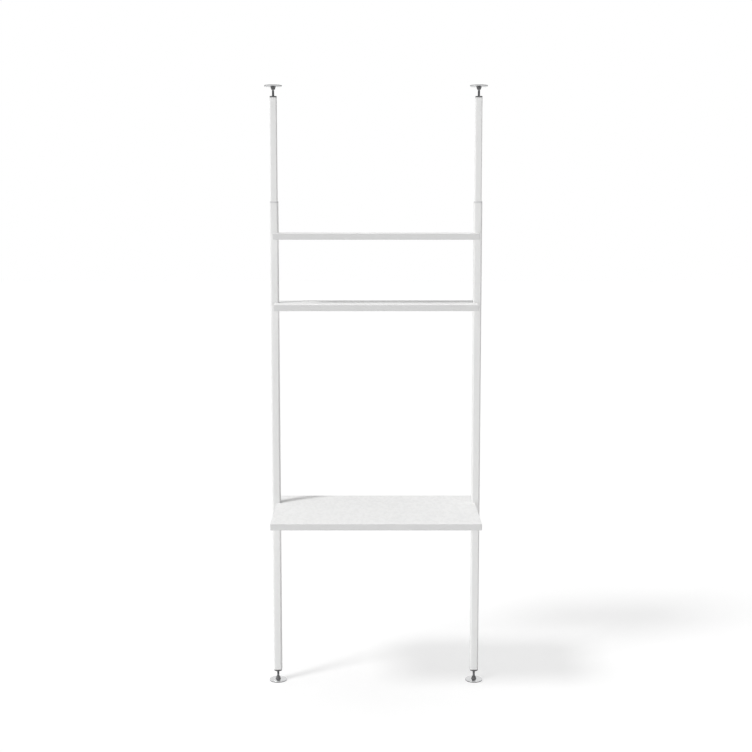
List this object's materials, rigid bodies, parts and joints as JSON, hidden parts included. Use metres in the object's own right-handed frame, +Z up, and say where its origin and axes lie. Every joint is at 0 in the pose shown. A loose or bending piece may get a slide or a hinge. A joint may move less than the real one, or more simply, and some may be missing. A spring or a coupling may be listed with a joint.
{
  "type": "tension pole shelf unit",
  "caption": "Shelf unit with telescopic poles jacked between floor and ceiling, carrying a deep desk board low down and shallow shelves above that slide in height.",
  "frame": {"origin": "on the floor, midway between the centre lines of the two poles", "axes": "+X to the right seen from the front, +Y to the back away from the sitter, +Z up towards the ceiling"},
  "size_m": [0.909, 0.51, 2.5],
  "materials": {
    "pole_white": "white powder coat, satin",
    "board_white": "white foil-faced board, matt with a faint grain",
    "bracket_white": "white powder coat, satin",
    "collar_grey": "moulded plastic, fine matt texture",
    "disc_steel": "steel plate, nickel plated and polished",
    "dark_plastic": "moulded plastic, fine matt texture",
    "nylon": "natural nylon, slightly waxy",
    "zinc_steel": "bright zinc plate",
    "pad_rubber": "soft matt rubber"
  },
  "bodies": {
    "poles": {"left_lower_pole": "pole_white", "left_lower_end_plug": "dark_plastic", "left_pole_collar": "collar_grey", "left_lock_screw": "zinc_steel", "right_lower_pole": "pole_white", "right_lower_end_plug": "dark_plastic", "right_pole_collar": "collar_grey", "right_lock_screw": "zinc_steel"},
    "left_upper_pole": {"left_upper_pole": "pole_white", "left_upper_pole_glide": "nylon", "left_upper_end_plug": "dark_plastic"},
    "left_floor_nut": {"left_floor_jack_nut": "dark_plastic"},
    "left_floor_stud": {"left_floor_ball_stud": "zinc_steel"},
    "left_floor_cup": {"left_floor_ball_cup": "nylon"},
    "left_floor_foot": {"left_floor_foot_pad": "pad_rubber", "left_floor_foot_disc": "disc_steel", "left_floor_foot_hub": "dark_plastic"},
    "left_ceiling_nut": {"left_ceiling_jack_nut": "dark_plastic"},
    "left_ceiling_stud": {"left_ceiling_ball_stud": "zinc_steel"},
    "left_ceiling_cup": {"left_ceiling_ball_cup": "nylon"},
    "left_ceiling_foot": {"left_ceiling_foot_pad": "pad_rubber", "left_ceiling_foot_disc": "disc_steel", "left_ceiling_foot_hub": "dark_plastic"},
    "right_upper_pole": {"right_upper_pole": "pole_white", "right_upper_pole_glide": "nylon", "right_upper_end_plug": "dark_plastic"},
    "right_floor_nut": {"right_floor_jack_nut": "dark_plastic"},
    "right_floor_stud": {"right_floor_ball_stud": "zinc_steel"},
    "right_floor_cup": {"right_floor_ball_cup": "nylon"},
    "right_floor_foot": {"right_floor_foot_pad": "pad_rubber", "right_floor_foot_disc": "disc_steel", "right_floor_foot_hub": "dark_plastic"},
    "right_ceiling_nut": {"right_ceiling_jack_nut": "dark_plastic"},
    "right_ceiling_stud": {"right_ceiling_ball_stud": "zinc_steel"},
    "right_ceiling_cup": {"right_ceiling_ball_cup": "nylon"},
    "right_ceiling_foot": {"right_ceiling_foot_pad": "pad_rubber", "right_ceiling_foot_disc": "disc_steel", "right_ceiling_foot_hub": "dark_plastic"},
    "desk": {"desk_board": "board_white", "desk_left_bracket": "bracket_white", "desk_right_bracket": "bracket_white", "desk_left_slot_nut": "zinc_steel", "desk_right_slot_nut": "zinc_steel", "desk_left_clamp_screw": "zinc_steel", "desk_right_clamp_screw": "zinc_steel"},
    "middle_shelf": {"middle_shelf_board": "board_white", "middle_shelf_left_bracket": "bracket_white", "middle_shelf_right_bracket": "bracket_white", "middle_shelf_left_slot_nut": "zinc_steel", "middle_shelf_right_slot_nut": "zinc_steel", "middle_shelf_left_clamp_screw": "zinc_steel", "middle_shelf_right_clamp_screw": "zinc_steel"},
    "top_shelf": {"top_shelf_board": "board_white", "top_shelf_left_bracket": "bracket_white", "top_shelf_right_bracket": "bracket_white", "top_shelf_left_slot_nut": "zinc_steel", "top_shelf_right_slot_nut": "zinc_steel", "top_shelf_left_clamp_screw": "zinc_steel", "top_shelf_right_clamp_screw": "zinc_steel"}
  },
  "joints": [
    {"name": "left_telescope", "type": "slide", "parent": "poles", "child": "left_upper_pole", "axis": [0, 0, 1], "range_m": [-0.28, 1]},
    {"name": "left_floor_nut_turn", "type": "hinge", "parent": "poles", "child": "left_floor_nut", "pos_m": [-0.418, 0, 0.0456], "axis": [0, 0, 1], "range_deg": [-4320, 5280]},
    {"name": "left_floor_stud_travel", "type": "slide", "parent": "poles", "child": "left_floor_stud", "axis": [0, 0, -1], "range_m": [-0.018, 0.022]},
    {"name": "left_floor_swivel_front_back", "type": "hinge", "parent": "left_floor_stud", "child": "left_floor_cup", "pos_m": [-0.418, 0, 0.0121], "axis": [1, 0, 0], "range_deg": [-8, 8]},
    {"name": "left_floor_swivel_side", "type": "hinge", "parent": "left_floor_cup", "child": "left_floor_foot", "pos_m": [-0.418, 0, 0.0121], "axis": [0, 1, 0], "range_deg": [-8, 8]},
    {"name": "left_ceiling_nut_turn", "type": "hinge", "parent": "left_upper_pole", "child": "left_ceiling_nut", "pos_m": [-0.418, 0, 2.4544], "axis": [0, 0, -1], "range_deg": [-4320, 5280]},
    {"name": "left_ceiling_stud_travel", "type": "slide", "parent": "left_upper_pole", "child": "left_ceiling_stud", "axis": [0, 0, 1], "range_m": [-0.018, 0.022]},
    {"name": "left_ceiling_swivel_front_back", "type": "hinge", "parent": "left_ceiling_stud", "child": "left_ceiling_cup", "pos_m": [-0.418, 0, 2.4879], "axis": [1, 0, 0], "range_deg": [-8, 8]},
    {"name": "left_ceiling_swivel_side", "type": "hinge", "parent": "left_ceiling_cup", "child": "left_ceiling_foot", "pos_m": [-0.418, 0, 2.4879], "axis": [0, 1, 0], "range_deg": [-8, 8]},
    {"name": "right_telescope", "type": "slide", "parent": "poles", "child": "right_upper_pole", "axis": [0, 0, 1], "range_m": [-0.28, 1]},
    {"name": "right_floor_nut_turn", "type": "hinge", "parent": "poles", "child": "right_floor_nut", "pos_m": [0.418, 0, 0.0456], "axis": [0, 0, 1], "range_deg": [-4320, 5280]},
    {"name": "right_floor_stud_travel", "type": "slide", "parent": "poles", "child": "right_floor_stud", "axis": [0, 0, -1], "range_m": [-0.018, 0.022]},
    {"name": "right_floor_swivel_front_back", "type": "hinge", "parent": "right_floor_stud", "child": "right_floor_cup", "pos_m": [0.418, 0, 0.0121], "axis": [1, 0, 0], "range_deg": [-8, 8]},
    {"name": "right_floor_swivel_side", "type": "hinge", "parent": "right_floor_cup", "child": "right_floor_foot", "pos_m": [0.418, 0, 0.0121], "axis": [0, 1, 0], "range_deg": [-8, 8]},
    {"name": "right_ceiling_nut_turn", "type": "hinge", "parent": "right_upper_pole", "child": "right_ceiling_nut", "pos_m": [0.418, 0, 2.4544], "axis": [0, 0, -1], "range_deg": [-4320, 5280]},
    {"name": "right_ceiling_stud_travel", "type": "slide", "parent": "right_upper_pole", "child": "right_ceiling_stud", "axis": [0, 0, 1], "range_m": [-0.018, 0.022]},
    {"name": "right_ceiling_swivel_front_back", "type": "hinge", "parent": "right_ceiling_stud", "child": "right_ceiling_cup", "pos_m": [0.418, 0, 2.4879], "axis": [1, 0, 0], "range_deg": [-8, 8]},
    {"name": "right_ceiling_swivel_side", "type": "hinge", "parent": "right_ceiling_cup", "child": "right_ceiling_foot", "pos_m": [0.418, 0, 2.4879], "axis": [0, 1, 0], "range_deg": [-8, 8]},
    {"name": "desk_height", "type": "slide", "parent": "poles", "child": "desk", "axis": [0, 0, 1], "range_m": [-0.12, 0.3]},
    {"name": "middle_shelf_height", "type": "slide", "parent": "poles", "child": "middle_shelf", "axis": [0, 0, 1], "range_m": [-0.4, 0.12]},
    {"name": "top_shelf_height", "type": "slide", "parent": "poles", "child": "top_shelf", "axis": [0, 0, 1], "range_m": [-0.1, 0.08]}
  ],
  "couplings": [
    {"joint": "left_floor_nut_turn", "follows": "left_floor_stud_travel", "rad_per_m": 4188.8},
    {"joint": "left_ceiling_nut_turn", "follows": "left_ceiling_stud_travel", "rad_per_m": 4188.8},
    {"joint": "right_floor_nut_turn", "follows": "right_floor_stud_travel", "rad_per_m": 4188.8},
    {"joint": "right_ceiling_nut_turn", "follows": "right_ceiling_stud_travel", "rad_per_m": 4188.8}
  ]
}
